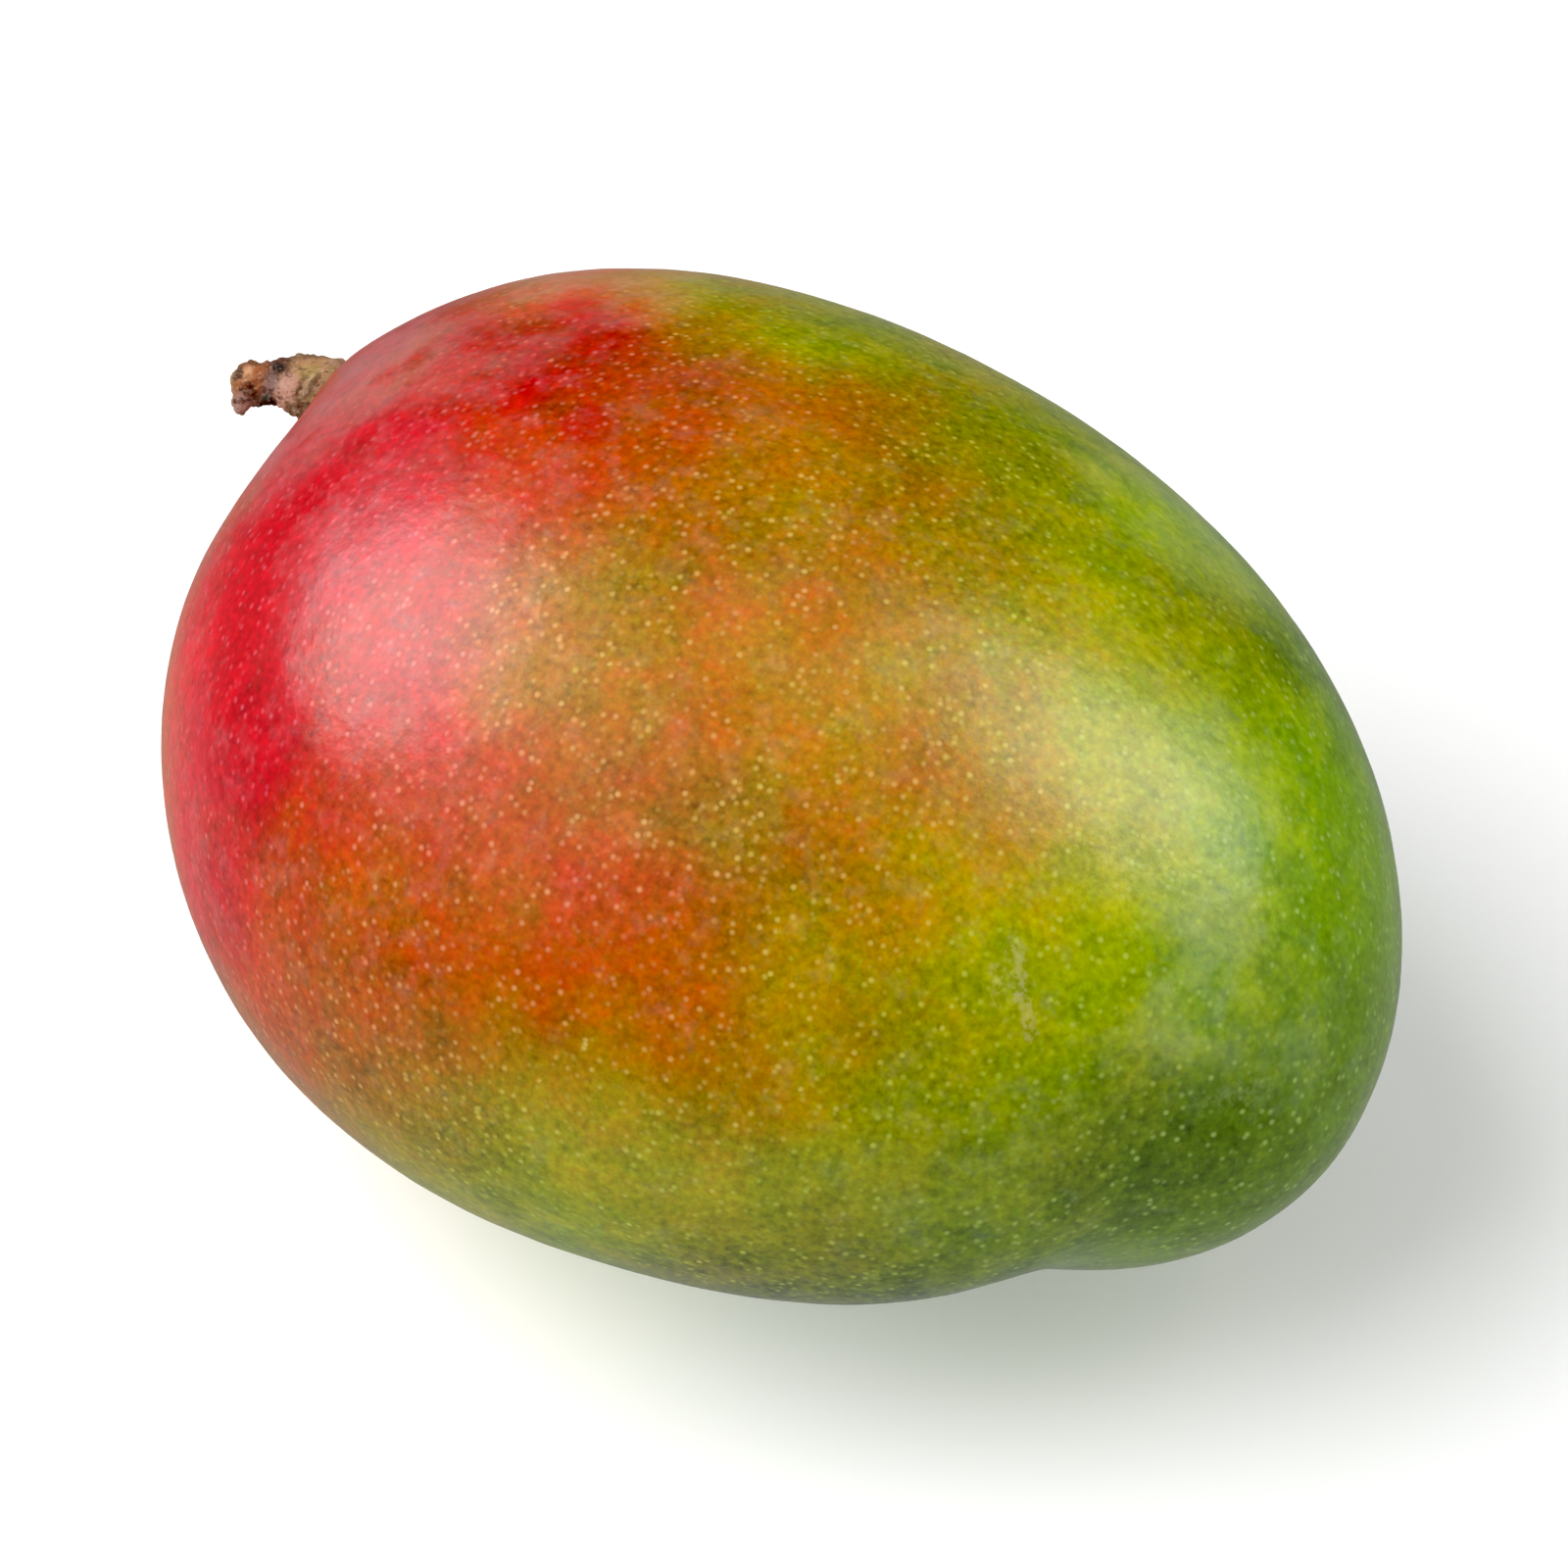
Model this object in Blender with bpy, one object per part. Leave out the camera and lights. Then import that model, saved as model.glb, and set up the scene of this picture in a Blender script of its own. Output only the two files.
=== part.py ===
"""A ripe mango lying on its belly, with the dry stub of its stalk. Metres, Z up.

The long axis runs along X with the stem end at -X. The back of the fruit is at +Y and the
side with the beak and the sinus under it is at -Y.
"""

import math

import bmesh
import bpy
from mathutils import Matrix, Vector

MM = 0.001

# Fruit: reach of the plain ovoid from its middle, on each side
STEM_REACH = 58.5 * MM
APEX_REACH = 61.5 * MM
BACK_REACH = 46.0 * MM
FRONT_REACH = 47.8 * MM
TOP_REACH = 42.4 * MM
BELLY_REACH = 39.0 * MM
FULLNESS = 1.93      # exponent of the cross-section: 2 is a plain ellipse, more is boxier
TAPER = 0.07         # how much slimmer the apex end is than the stem end

# Swells and dents: name, longitude and latitude of the middle, spread in degrees, height
SWELLS = (
    ("back shoulder", 140.0, 15.0, 38.0, 6.3 * MM),
    ("front shoulder", 215.0, -5.0, 38.0, -1.8 * MM),
    ("back cheek", 60.0, 20.0, 38.0, 3.1 * MM),
    ("front cheek", -70.0, 5.0, 38.0, 0.7 * MM),
    ("belly", -80.0, -40.0, 34.0, -2.0 * MM),
    ("beak", -9.0, -11.0, 24.0, 1.6 * MM),
    ("apex", 25.0, 15.0, 28.0, 0.5 * MM),
    ("stem hollow", 172.0, 18.0, 14.0, -2.0 * MM),
    ("hollow under the stem", 182.0, 16.0, 13.0, -0.5 * MM),
    ("neck round the stem", 165.0, 22.0, 8.0, 1.6 * MM),
)

# Sinus: a valley from under the belly up behind the beak
SINUS_START = (-40.0, -52.0)
SINUS_END = (-25.0, 8.0)
SINUS_DEPTH = 4.0 * MM
SINUS_FADE = 0.55    # share of the depth lost at the upper end
SINUS_SPREAD = 11.0  # degrees

GRID = 30            # quads along each side of the cube the fruit is swollen from
ROUND_CELLS = 2      # cells from the stem's middle to the rim of its socket
STEM_PINCH = 0.26    # how much the cells are drawn in round the stem
REST_HEIGHT = 38.3 * MM   # middle of the fruit above the spot it rests on

# Socket the stem stands in
STEM_PLACE = (165.7, 18.3)
SOCKET_DEPTH = 1.7 * MM
SOCKET_GAP = 0.3 * MM

# Stem: it leans away from the fruit along STEM_LEAN, STEM_SIDE is across it
STEM_LEAN = Vector((-0.84, -0.53, -0.11))
STEM_SIDE = Vector((-0.43, 0.55, 0.71))
STEM_SEGMENTS = 44
STEM_RINGS = 46
# Stations: how far along the lean, how far to the side, radius
STEM_STATIONS = (
    (0.0 * MM, 0.0 * MM, 3.3 * MM),
    (0.7 * MM, 0.0 * MM, 3.0 * MM),
    (1.6 * MM, 0.25 * MM, 2.85 * MM),
    (2.6 * MM, 0.5 * MM, 2.7 * MM),
    (3.5 * MM, 0.7 * MM, 2.3 * MM),
    (4.2 * MM, 0.85 * MM, 1.95 * MM),
    (5.2 * MM, 0.95 * MM, 1.95 * MM),
    (6.3 * MM, 0.9 * MM, 2.05 * MM),
    (7.3 * MM, 0.75 * MM, 2.0 * MM),
    (8.0 * MM, 0.6 * MM, 1.7 * MM),
    (8.3 * MM, 0.5 * MM, 0.95 * MM),
)
STEM_ROOT_RADIUS = 3.1 * MM
STEM_LIFT = 0.55 * MM        # the skirt starts this far above the skin
STEM_TURN_LENGTH = 4.5 * MM  # over this length the rings turn from the skin to the lean
# Knobs on the stem: name, along the lean, angle round it in degrees, spread, height
STEM_KNOBS = (
    ("collar flare", 0.6 * MM, 78.0, 1.3 * MM, 0.5 * MM),
    ("hooked lobe", 7.6 * MM, 255.0, 0.9 * MM, 0.6 * MM),
    ("broken edge", 7.0 * MM, 70.0, 1.1 * MM, 0.2 * MM),
    ("bud scar", 1.9 * MM, 95.0, 1.1 * MM, 0.35 * MM),
    ("bitten underside", 2.7 * MM, 255.0, 1.3 * MM, -0.45 * MM),
    ("front lump", 3.2 * MM, 330.0, 1.2 * MM, 0.3 * MM),
    ("rear lump", 2.0 * MM, 180.0, 1.4 * MM, 0.35 * MM),
)
RIDGE_HEIGHT = 0.11 * MM

SKIN_COLOUR = (0.55, 0.22, 0.03, 1.0)
STEM_COLOUR = (0.17, 0.10, 0.05, 1.0)


def clear_scene():
    """Take away whatever the file opened with."""
    for obj in list(bpy.data.objects):
        bpy.data.objects.remove(obj, do_unlink=True)


def unit(lon, lat):
    """Direction for a longitude and latitude in degrees."""
    lon, lat = math.radians(lon), math.radians(lat)
    return Vector((math.cos(lat) * math.cos(lon), math.cos(lat) * math.sin(lon), math.sin(lat)))


def bell(angle, spread):
    """Smooth hill of height one."""
    return math.exp(-(angle / spread) ** 2)


def arc_distance(direction, start, end):
    """Angle from a direction to the arc start..end, and how far along the arc it lies, 0 to 1."""
    axis = start.cross(end).normalized()
    across = axis.cross(start)
    off = direction.dot(axis)
    flat = direction - off * axis
    total = math.atan2(end.dot(across), end.dot(start))
    turn = math.atan2(flat.dot(across), flat.dot(start))
    if 0.0 <= turn <= total:
        return abs(math.asin(max(-1.0, min(1.0, off)))), turn / total
    if direction.angle(start) < direction.angle(end):
        return direction.angle(start), 0.0
    return direction.angle(end), 1.0


def fruit_point(direction):
    """Point of the skin in a direction from the fruit's middle."""
    d = direction
    size = sum(abs(c) ** FULLNESS for c in d) ** (-1.0 / FULLNESS)
    waist = 1.0 - TAPER * d.x * size
    point = Vector((
        d.x * size * (APEX_REACH if d.x > 0.0 else STEM_REACH),
        d.y * size * waist * (BACK_REACH if d.y > 0.0 else FRONT_REACH),
        d.z * size * waist * (TOP_REACH if d.z > 0.0 else BELLY_REACH),
    ))
    swell = 0.0
    for _name, lon, lat, spread, height in SWELLS:
        swell += height * bell(d.angle(unit(lon, lat)), math.radians(spread))
    angle, along = arc_distance(d, unit(*SINUS_START), unit(*SINUS_END))
    swell -= SINUS_DEPTH * (1.0 - SINUS_FADE * along) * bell(angle, math.radians(SINUS_SPREAD))
    return point + d * swell


def skin_normal(direction):
    """Outward normal of the skin in a direction."""
    side = direction.orthogonal().normalized()
    other = direction.cross(side)
    step = 0.01
    here = fruit_point(direction)
    a = fruit_point((direction + step * side).normalized()) - here
    b = fruit_point((direction + step * other).normalized()) - here
    return a.cross(b).normalized()


def even_direction(cube_point):
    """Cube point to a direction, with even cells and round rings about the -X face's middle."""
    x, y, z = cube_point
    if x < -0.999:
        ring = max(abs(y), abs(z))
        away = math.hypot(y, z)
        inner = ROUND_CELLS * 2.0 / GRID
        share = max(0.0, min(1.0, (4.0 * inner - ring) / (3.0 * inner)))
        share = share * share * (3.0 - 2.0 * share)
        if away > 0.0:
            scale = (1.0 + share * (ring / away - 1.0)) * (1.0 - STEM_PINCH * share)
            y, z = y * scale, z * scale
    quarter = math.pi / 4.0
    return Vector((math.tan(x * quarter), math.tan(y * quarter), math.tan(z * quarter))).normalized()


def stem_frame():
    """Rotation that brings the cube's -X face round to the stem's place."""
    back = -unit(*STEM_PLACE)
    up = (Vector((0.0, 0.0, 1.0)) - back * back.z).normalized()
    return Matrix((back, up.cross(back), up)).transposed()


def build_fruit():
    """Skin and flesh: a cube divided evenly, swollen to the mango's form, with the stem's socket."""
    bm = bmesh.new()
    bmesh.ops.create_cube(bm, size=2.0)
    bmesh.ops.subdivide_edges(bm, edges=bm.edges[:], cuts=GRID - 1, use_grid_fill=True)
    reach = (ROUND_CELLS + 0.1) * 2.0 / GRID
    patch = [f for f in bm.faces
             if all(v.co.x < -0.999 and max(abs(v.co.y), abs(v.co.z)) < reach for v in f.verts)]
    frame = stem_frame()
    for vert in bm.verts:
        vert.co = fruit_point(frame @ even_direction(vert.co))

    # The socket is the round patch at the stem's place, pressed straight in
    pressed = bmesh.ops.extrude_face_region(bm, geom=patch)
    floor = [g for g in pressed["geom"] if isinstance(g, bmesh.types.BMVert)]
    bmesh.ops.delete(bm, geom=patch, context="FACES")
    inward = -skin_normal(unit(*STEM_PLACE))
    bmesh.ops.translate(bm, verts=floor, vec=inward * SOCKET_DEPTH)

    # The spot it rests on is flat
    for vert in bm.verts:
        vert.co.z = max(vert.co.z, -REST_HEIGHT)
    bmesh.ops.recalc_face_normals(bm, faces=bm.faces[:])
    return bm


def smooth_track(stations, along):
    """Values of a station row at a distance along, eased between neighbouring stations."""
    for low, high in zip(stations, stations[1:]):
        if along <= high[0]:
            share = (along - low[0]) / (high[0] - low[0])
            share = share * share * (3.0 - 2.0 * share)
            return [a + (b - a) * share for a, b in zip(low[1:], high[1:])]
    return list(stations[-1][1:])


def ridges(angle, along):
    """Bark ridges that wander round the stem as they run along it."""
    phase = along / MM
    return RIDGE_HEIGHT * (
        math.sin(7.0 * angle + 0.9 * phase)
        + 0.7 * math.sin(11.0 * angle - 1.3 * phase + 1.0)
        + 0.8 * math.sin(3.0 * angle + 2.3 * phase)
    )


def build_stem():
    """Stalk stub: a cylinder drawn out along its lean, knuckled, necked and broken at the tip."""
    place = unit(*STEM_PLACE)
    normal = skin_normal(place)
    skin = fruit_point(place)
    base = skin + normal * STEM_LIFT
    lean = STEM_LEAN.normalized()
    side = (STEM_SIDE - lean * STEM_SIDE.dot(lean)).normalized()
    length = STEM_STATIONS[-1][0]

    bm = bmesh.new()
    bmesh.ops.create_cone(bm, cap_ends=True, segments=STEM_SEGMENTS, radius1=1.0, radius2=1.0, depth=1.0)
    uprights = [e for e in bm.edges if abs(e.verts[0].co.z - e.verts[1].co.z) > 0.5]
    bmesh.ops.subdivide_edges(bm, edges=uprights, cuts=STEM_RINGS - 1)
    caps = [f for f in bm.faces if len(f.verts) > 4]
    bmesh.ops.poke(bm, faces=caps)

    root_share = 2.0 / STEM_RINGS
    for vert in bm.verts:
        share = vert.co.z + 0.5
        angle = math.atan2(vert.co.y, vert.co.x)
        rim = math.hypot(vert.co.x, vert.co.y)
        along = length * max(0.0, (share - root_share) / (1.0 - root_share))
        aside, radius = smooth_track(STEM_STATIONS, along)
        centre = base + lean * along + side * aside
        turn = min(1.0, along / STEM_TURN_LENGTH)
        axis = normal.lerp(lean, turn).normalized()
        if share < root_share:
            sink = SOCKET_DEPTH - SOCKET_GAP
            centre = skin - normal * sink * (1.0 - share / root_share)
            radius = STEM_ROOT_RADIUS
        else:
            radius += ridges(angle, along)
            for _name, knob_along, knob_angle, spread, height in STEM_KNOBS:
                round_off = math.remainder(angle - math.radians(knob_angle), math.tau) * radius
                radius += height * bell(math.hypot(along - knob_along, round_off), spread)
        across = (side - axis * side.dot(axis)).normalized()
        other = axis.cross(across)
        vert.co = centre + (other * math.cos(angle) + across * math.sin(angle)) * radius * rim
    bmesh.ops.recalc_face_normals(bm, faces=bm.faces[:])
    return bm


def dress(name, bm, colour, roughness, home):
    """Turn a finished bmesh into a named object with its own material."""
    mesh = bpy.data.meshes.new(name)
    bm.to_mesh(mesh)
    bm.free()
    obj = bpy.data.objects.new(name, mesh)
    home.objects.link(obj)
    material = bpy.data.materials.new(name)
    material.use_nodes = True
    shader = material.node_tree.nodes["Principled BSDF"]
    shader.inputs["Base Color"].default_value = colour
    shader.inputs["Roughness"].default_value = roughness
    mesh.materials.append(material)
    for face in mesh.polygons:
        face.use_smooth = True
    return obj


def stand_on_floor(objects):
    """Put the middle of the whole thing's box over the origin and its lowest point on the floor."""
    points = [v.co for obj in objects for v in obj.data.vertices]
    low = Vector([min(p[i] for p in points) for i in range(3)])
    high = Vector([max(p[i] for p in points) for i in range(3)])
    middle = (low + high) / 2.0
    shift = Matrix.Translation((-middle.x, -middle.y, -low.z))
    for obj in objects:
        obj.data.transform(shift)


def main():
    clear_scene()
    home = bpy.data.collections.new("mango")
    bpy.context.scene.collection.children.link(home)
    fruit = dress("fruit", build_fruit(), SKIN_COLOUR, 0.4, home)
    stem = dress("stem", build_stem(), STEM_COLOUR, 0.85, home)
    stand_on_floor([fruit, stem])


main()
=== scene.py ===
"""A ripe mango on a pale studio floor: the finish of its skin and of the dry stub of its stalk.

Metres, Z up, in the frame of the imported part. The stem end points to -X and the beak to +X.
Places on the skin are given as a longitude and a latitude, in degrees, about the point that the
fruit swells from: longitude 0 is the apex, 180 the stem end, -90 the side turned to the camera.
"""

import logging
import math
from dataclasses import dataclass, field
from enum import Enum
from typing import Any, Iterable

import bpy
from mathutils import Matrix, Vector


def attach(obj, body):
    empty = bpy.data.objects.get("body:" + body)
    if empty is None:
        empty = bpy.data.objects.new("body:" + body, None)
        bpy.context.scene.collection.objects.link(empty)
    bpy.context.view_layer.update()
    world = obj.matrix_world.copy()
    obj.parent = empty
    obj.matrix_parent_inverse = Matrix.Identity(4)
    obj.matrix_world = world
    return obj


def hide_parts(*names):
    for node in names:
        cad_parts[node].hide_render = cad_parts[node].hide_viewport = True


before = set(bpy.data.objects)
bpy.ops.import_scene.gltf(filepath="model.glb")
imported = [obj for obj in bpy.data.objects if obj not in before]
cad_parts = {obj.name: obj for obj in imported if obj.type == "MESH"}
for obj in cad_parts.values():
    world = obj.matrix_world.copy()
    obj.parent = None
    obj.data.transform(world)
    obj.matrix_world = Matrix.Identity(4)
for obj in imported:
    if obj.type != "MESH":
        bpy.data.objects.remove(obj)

Colour = tuple[float, float, float]
Stops = tuple[tuple[float, Colour], ...]

MM = 0.001
PICTURE_WIDTH = 1600.0                            # pixels along the photograph
SWELL_CENTRE = Vector((0.965, -0.43, 38.3)) * MM  # the point that the fruit swells from
STEM_BASE = Vector((-55.97, 11.70, 53.52)) * MM   # middle of the stalk where it leaves the skin
STEM_LEAN = Vector((-0.841, -0.530, -0.110))      # the way it points
STEM_SIDE = Vector((-0.439, 0.548, 0.712))        # across it, upwards
MARK_CORE = 0.3                                   # share of a mark's width at full strength
SAME_PLACE = 0.001 * MM                           # corners nearer than this are one corner
NEARLY_FLAT = math.radians(60.0)                  # two triangles that bend less make a quad

log = logging.getLogger("mango")


def unit(lon: float, lat: float) -> Vector:
    """Direction of a longitude and a latitude.

    Args:
        lon: Longitude in degrees.
        lat: Latitude in degrees.

    Returns:
        A vector of length one.
    """
    lon, lat = math.radians(lon), math.radians(lat)
    return Vector((math.cos(lat) * math.cos(lon), math.cos(lat) * math.sin(lon), math.sin(lat)))


def outward(azimuth: float, elevation: float) -> Vector:
    """Direction from the fruit to a lamp or the camera.

    Args:
        azimuth: Degrees round the fruit, 0 in front at -Y and 90 at +X.
        elevation: Degrees above the floor.

    Returns:
        A vector of length one.
    """
    around, above = math.radians(azimuth), math.radians(elevation)
    level = math.cos(above)
    return Vector((math.sin(around) * level, -math.cos(around) * level, math.sin(above)))


class Wire:
    """An output socket of a shader, with arithmetic that adds its Math nodes."""

    def __init__(self, shader: "Shader", socket: bpy.types.NodeSocket) -> None:
        """Wraps a socket.

        Args:
            shader: The shader that the socket belongs to.
            socket: The output socket.
        """
        self.shader = shader
        self.socket = socket

    def __add__(self, other: Any) -> "Wire":
        """Sum."""
        return self.shader.math("ADD", self, other)

    def __radd__(self, other: Any) -> "Wire":
        """Sum, with the wire on the right."""
        return self.shader.math("ADD", other, self)

    def __sub__(self, other: Any) -> "Wire":
        """Difference."""
        return self.shader.math("SUBTRACT", self, other)

    def __rsub__(self, other: Any) -> "Wire":
        """Difference, with the wire on the right."""
        return self.shader.math("SUBTRACT", other, self)

    def __mul__(self, other: Any) -> "Wire":
        """Product."""
        return self.shader.math("MULTIPLY", self, other)

    def __rmul__(self, other: Any) -> "Wire":
        """Product, with the wire on the right."""
        return self.shader.math("MULTIPLY", other, self)

    def clamp(self) -> "Wire":
        """The value, kept between nought and one."""
        return self.shader.math("MINIMUM", self.shader.math("MAXIMUM", self, 0.0), 1.0)

    def rise(self, low: float, high: float) -> "Wire":
        """Smooth step of the value.

        Args:
            low: Value at which the step starts.
            high: Value at which it is complete. It may be the lower of the two.

        Returns:
            Nought at low, one at high, eased between them.
        """
        backwards = low > high
        node = self.shader.node(
            "ShaderNodeMapRange",
            {"interpolation_type": "SMOOTHSTEP"},
            {"Value": self, "From Min": min(low, high), "From Max": max(low, high),
             "To Min": 1.0 if backwards else 0.0, "To Max": 0.0 if backwards else 1.0},
        )
        return self.shader.out(node, "Result")


class Shader:
    """Builds the nodes of a material or of the surroundings.

    Attributes:
        owner: What the nodes belong to.
        tree: The nodes.
        place: A point's place on its object.
        way: The direction that is looked in, for the surroundings.
    """

    def __init__(self, owner: bpy.types.Material | bpy.types.World) -> None:
        """Starts with no nodes but the coordinates.

        Args:
            owner: The material or the world.
        """
        owner.use_nodes = True
        self.owner = owner
        self.tree = owner.node_tree
        self.tree.nodes.clear()
        coordinates = self.node("ShaderNodeTexCoord")
        self.place = self.out(coordinates, "Object")
        self.way = self.out(coordinates, "Generated")

    def node(self, kind: str, settings: dict[str, Any] | None = None,
             sockets: dict[str | int, Any] | None = None) -> bpy.types.Node:
        """Adds a node.

        Args:
            kind: The node's type.
            settings: What is set on the node before its sockets. "stops" are a ramp's stops.
            sockets: Values or wires, by the names or numbers of the sockets.

        Returns:
            The new node.
        """
        made = self.tree.nodes.new(kind)
        for key, value in (settings or {}).items():
            if key == "stops":
                self.set_stops(made.color_ramp, value)
            else:
                setattr(made, key, value)
        for key, value in (sockets or {}).items():
            self.feed(made.inputs[key], value)
        return made

    @staticmethod
    def set_stops(ramp: bpy.types.ColorRamp, stops: Stops) -> None:
        """Gives a colour ramp its stops.

        Args:
            ramp: The ramp.
            stops: Places along the ramp, each with its colour.
        """
        while len(ramp.elements) < len(stops):
            ramp.elements.new(0.5)
        for element, (along, colour) in zip(ramp.elements, stops):
            element.position = along
            element.color = (*colour, 1.0)

    def feed(self, socket: bpy.types.NodeSocket, value: Any) -> None:
        """Links a wire to a socket, or sets the socket's value.

        Args:
            socket: The input socket.
            value: A wire, a number, or the three numbers of a vector or colour.
        """
        if isinstance(value, Wire):
            self.tree.links.new(value.socket, socket)
        elif socket.type == "RGBA":
            socket.default_value = (*value, 1.0)
        else:
            socket.default_value = value

    def out(self, node: bpy.types.Node, name: str | int = 0) -> Wire:
        """A node's output as a wire."""
        return Wire(self, node.outputs[name])

    def math(self, operation: str, *operands: Any) -> Wire:
        """Adds a Math node, or a Vector Math node where an operand is a vector or a colour.

        Args:
            operation: The node's operation.
            operands: Wires, numbers or vectors.

        Returns:
            The result.
        """
        vector = any(isinstance(o, Wire) and o.socket.type in ("VECTOR", "RGBA") for o in operands)
        vector = vector or any(isinstance(o, (tuple, Vector)) for o in operands)
        kind = "ShaderNodeVectorMath" if vector else "ShaderNodeMath"
        if vector:
            operands = [(o, o, o) if isinstance(o, (int, float)) else o for o in operands]
        made = self.node(kind, {"operation": operation}, dict(enumerate(operands)))
        scalar = operation in ("DOT_PRODUCT", "LENGTH")
        return self.out(made, "Value" if scalar or not vector else "Vector")

    def vector(self, across: Any, along: Any, up: Any) -> Wire:
        """Joins three numbers into a vector."""
        return self.out(self.node("ShaderNodeCombineXYZ", {}, {0: across, 1: along, 2: up}))

    def ramp(self, stops: Stops, along: Wire) -> Wire:
        """Reads a colour off a ramp."""
        return self.out(self.node("ShaderNodeValToRGB", {"stops": stops}, {"Fac": along}), "Color")

    def blend(self, share: Any, under: Any, over: Any) -> Wire:
        """Mixes two colours.

        Args:
            share: How much of the second colour there is, nought to one.
            under: The first colour.
            over: The second colour.

        Returns:
            The mixed colour.
        """
        made = self.node("ShaderNodeMix", {"data_type": "RGBA"}, {0: share, 6: under, 7: over})
        return self.out(made, 2)

    def cells(self, cell: float) -> tuple[Wire, Wire]:
        """Voronoi cells.

        Args:
            cell: Size of a cell in metres.

        Returns:
            Distance from the cell's point, in metres, and a random number for each cell.
        """
        made = self.node(
            "ShaderNodeTexVoronoi",
            {"feature": "F1"},
            {"Vector": self.place, "Scale": 1.0 / cell, "Randomness": 1.0},
        )
        colour = self.node("ShaderNodeSeparateColor", {}, {"Color": self.out(made, "Color")})
        return self.out(made, "Distance") * cell, self.out(colour, "Red")

    def span(self, place: Wire, start: Vector, end: Vector) -> Wire:
        """Distance from a place to the straight line between two points.

        Args:
            place: The place.
            start: Where the line starts.
            end: Where it ends.

        Returns:
            The distance in metres.
        """
        run = end - start
        off = place - start
        share = (self.math("DOT_PRODUCT", off, run) * (1.0 / run.length_squared)).clamp()
        return self.math("LENGTH", off - share * run)

    def bump(self, height: Wire, strength: float, distance: float) -> Wire:
        """Turns a height into a normal.

        Args:
            height: The height, in units of distance.
            strength: Strength of the effect, nought to one.
            distance: Depth in metres of a height of one.

        Returns:
            The normal.
        """
        sockets = {"Strength": strength, "Distance": distance, "Height": height}
        return self.out(self.node("ShaderNodeBump", {}, sockets), "Normal")

    def finish(self, **sockets: Any) -> bpy.types.Material:
        """Adds the Principled shader and the output.

        Args:
            sockets: Values or wires, by socket names with underscores for spaces.

        Returns:
            The finished material.
        """
        named = {key.replace("_", " "): value for key, value in sockets.items()}
        shader = self.node("ShaderNodeBsdfPrincipled", {}, named)
        self.node("ShaderNodeOutputMaterial", {}, {"Surface": self.out(shader, "BSDF")})
        return self.owner


@dataclass(frozen=True)
class Noise:
    """Soft cloudy noise.

    Attributes:
        cell: Size of its blotches in metres.
        octaves: Octaves of finer noise on top.
        weight: Weight of the finer octaves.
        offset: Metres that it is moved by, to set it apart from another of its kind.
    """

    cell: float
    octaves: float
    weight: float
    offset: tuple[float, float, float] | None = None

    def read(self, shader: Shader, place: Wire | None = None, output: str = "Fac") -> Wire:
        """Adds the noise to a shader.

        Args:
            shader: The shader to build in.
            place: Where it is read, the object's own place if left out.
            output: "Fac" for a number or "Color" for a vector.

        Returns:
            The noise, about a half on average.
        """
        place = place or shader.place
        if self.offset is not None:
            place = place + self.offset
        made = shader.node(
            "ShaderNodeTexNoise",
            {"normalize": True},
            {"Vector": place, "Scale": 1.0 / self.cell, "Detail": self.octaves,
             "Roughness": self.weight},
        )
        return shader.out(made, output)

    def swing(self, shader: Shader) -> Wire:
        """The noise as a number about nought."""
        return self.read(shader) - 0.5

    def drift(self, shader: Shader) -> Wire:
        """The noise as a vector about nought."""
        return self.read(shader, output="Color") - (0.5, 0.5, 0.5)


@dataclass(frozen=True)
class Patch:
    """A place on the skin where one of its pigments is stronger or weaker.

    Attributes:
        name: What the place is called.
        lon: Longitude of its middle in degrees.
        lat: Latitude of its middle in degrees.
        spread: Angle in degrees at which it has faded out.
        amount: What it adds to the pigment at its middle.
    """

    name: str
    lon: float
    lat: float
    spread: float
    amount: float


@dataclass(frozen=True)
class Mark:
    """A stain or a scar drawn along a straight line.

    Attributes:
        name: What it is called.
        start: Where it starts, in millimetres.
        end: Where it ends, in millimetres.
        width: Millimetres from the line at which it has faded out.
        share: How strongly it covers what is under it.
        colour: Its colour.
    """

    name: str
    start: tuple[float, float, float]
    end: tuple[float, float, float]
    width: float
    share: float
    colour: Colour

    def lay(self, shader: Shader, place: Wire, under: Wire, cover: Wire | float = 1.0) -> Wire:
        """Lays the mark over a colour.

        Args:
            shader: The shader to build in.
            place: Where the colour is read.
            under: The colour.
            cover: Share of the mark that shows.

        Returns:
            The colour with the mark on it.
        """
        away = shader.span(place, Vector(self.start) * MM, Vector(self.end) * MM)
        strength = away.rise(self.width * MM, self.width * MM * MARK_CORE) * self.share
        return shader.blend(strength * cover, under, self.colour)


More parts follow.
